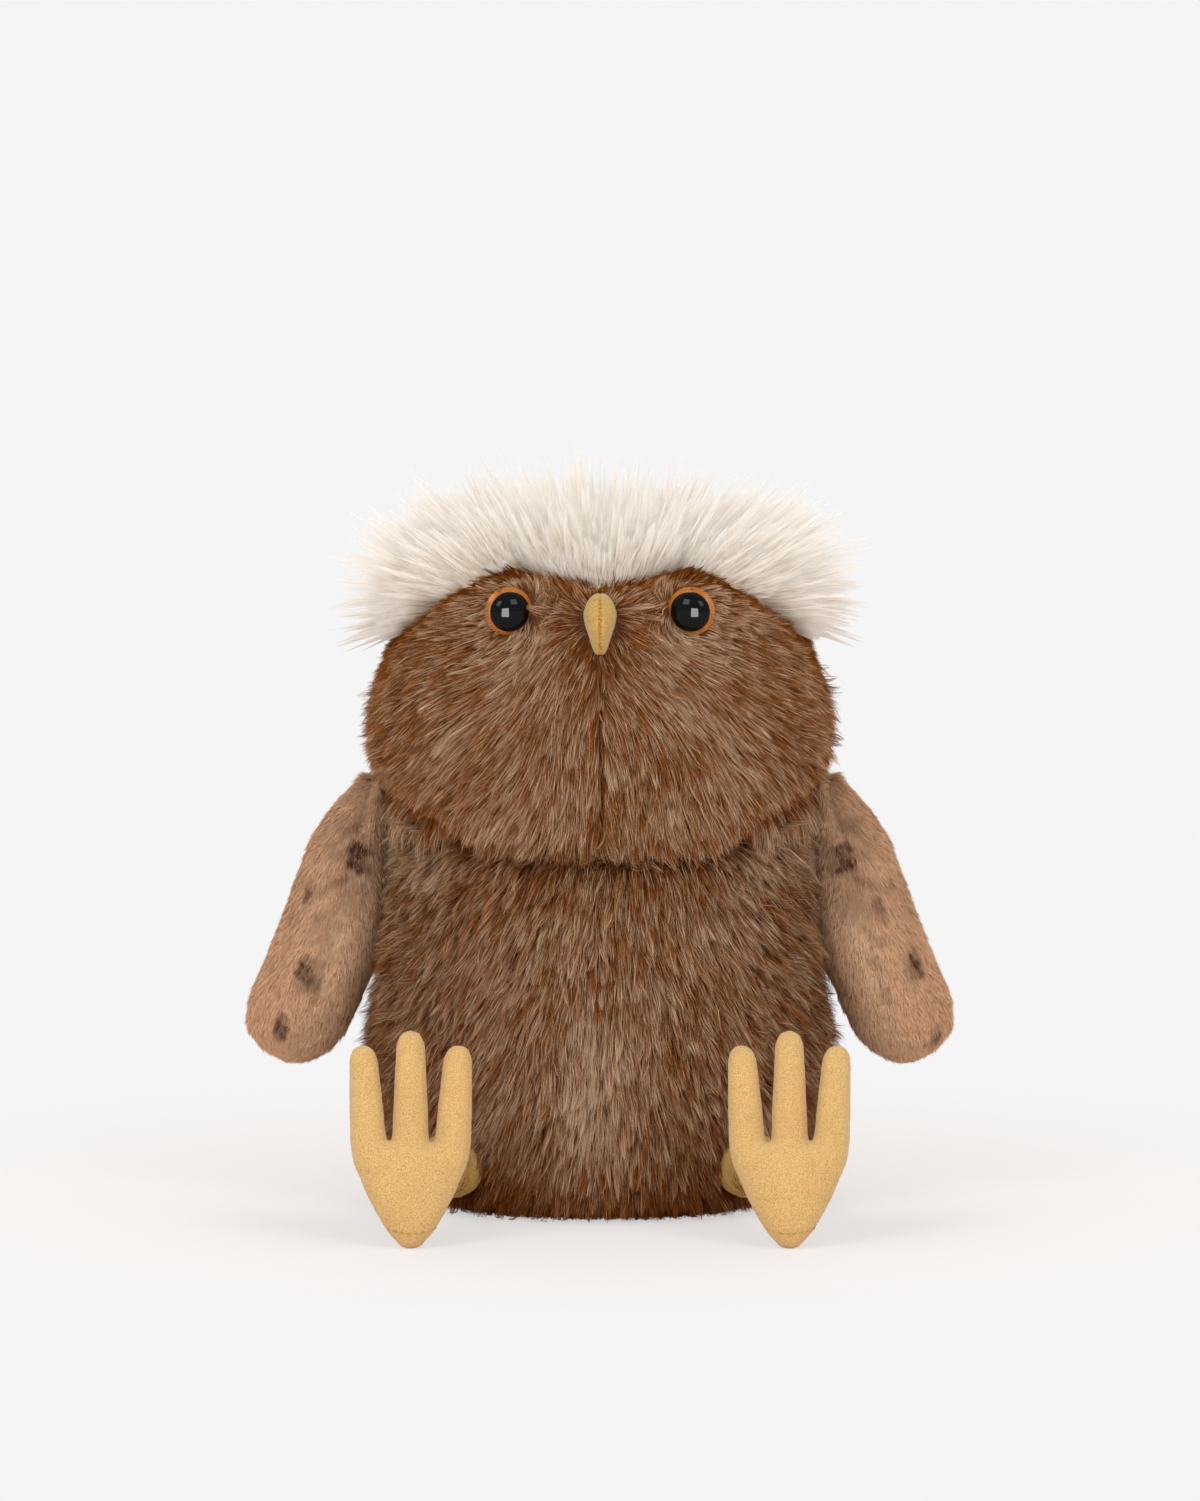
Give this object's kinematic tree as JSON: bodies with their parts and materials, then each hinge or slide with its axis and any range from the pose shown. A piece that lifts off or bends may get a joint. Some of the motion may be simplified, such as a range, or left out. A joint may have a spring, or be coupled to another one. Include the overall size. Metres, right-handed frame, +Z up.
{
  "type": "plush owl",
  "caption": "Sitting stuffed owl with long-pile brown fur, a cream crest, amber and black safety eyes, a suede beak and feet, and wings and legs that swing at their seams.",
  "frame": {"origin": "middle of the flat base that the owl sits on, on the floor plane", "axes": "+Z up from the base to the crest, -Y the way the owl faces, +X its own left"},
  "size_m": [0.2144, 0.1658, 0.223],
  "materials": {
    "brown_fur": "matte",
    "cream_pile": "matte",
    "wing_spotted_fur": "matte",
    "wing_plain_fur": "matte",
    "leg_fur": "matte",
    "foot_suede": "matte",
    "beak_suede": "matte",
    "amber_eye": "gloss",
    "black_eye": "gloss",
    "eye_washer": "matte",
    "fibre_filling": "matte",
    "pouch_cloth": "matte"
  },
  "bodies": {
    "torso": {"body_front_left_panel": "brown_fur", "body_front_right_panel": "brown_fur", "body_back_left_panel": "brown_fur", "body_back_right_panel": "brown_fur", "base_panel": "brown_fur", "face_left_panel": "brown_fur", "face_right_panel": "brown_fur", "head_back_left_panel": "brown_fur", "head_back_right_panel": "brown_fur", "crest_panel": "cream_pile", "body_filling": "fibre_filling", "head_filling": "fibre_filling", "beak_filling": "fibre_filling", "pellet_pouch": "pouch_cloth", "eye_left_iris": "amber_eye", "eye_left_pupil": "black_eye", "eye_left_washer": "eye_washer", "eye_right_iris": "amber_eye", "eye_right_pupil": "black_eye", "eye_right_washer": "eye_washer", "beak_left_panel": "beak_suede", "beak_right_panel": "beak_suede"},
    "wing_left": {"wing_left_outer_panel": "wing_spotted_fur", "wing_left_inner_panel": "wing_plain_fur", "wing_left_filling": "fibre_filling"},
    "leg_left": {"leg_left_sleeve": "leg_fur", "leg_left_filling": "fibre_filling", "foot_left_sole": "foot_suede", "foot_left_top": "foot_suede", "foot_left_filling": "fibre_filling"},
    "wing_right": {"wing_right_outer_panel": "wing_spotted_fur", "wing_right_inner_panel": "wing_plain_fur", "wing_right_filling": "fibre_filling"},
    "leg_right": {"leg_right_sleeve": "leg_fur", "leg_right_filling": "fibre_filling", "foot_right_sole": "foot_suede", "foot_right_top": "foot_suede", "foot_right_filling": "fibre_filling"}
  },
  "joints": [
    {"name": "wing_left_seam", "type": "hinge", "parent": "torso", "child": "wing_left", "pos_m": [0.0719, -0.004, 0.1302], "axis": [0, -1, 0], "range_deg": [0, 75]},
    {"name": "wing_right_seam", "type": "hinge", "parent": "torso", "child": "wing_right", "pos_m": [-0.0719, -0.004, 0.1302], "axis": [0, 1, 0], "range_deg": [0, 75]},
    {"name": "leg_left_hip", "type": "hinge", "parent": "torso", "child": "leg_left", "pos_m": [0.046, -0.0465, 0.0175], "axis": [-1, 0, 0], "range_deg": [-20, 30]},
    {"name": "leg_right_hip", "type": "hinge", "parent": "torso", "child": "leg_right", "pos_m": [-0.046, -0.0465, 0.0175], "axis": [-1, 0, 0], "range_deg": [-20, 30]}
  ]
}
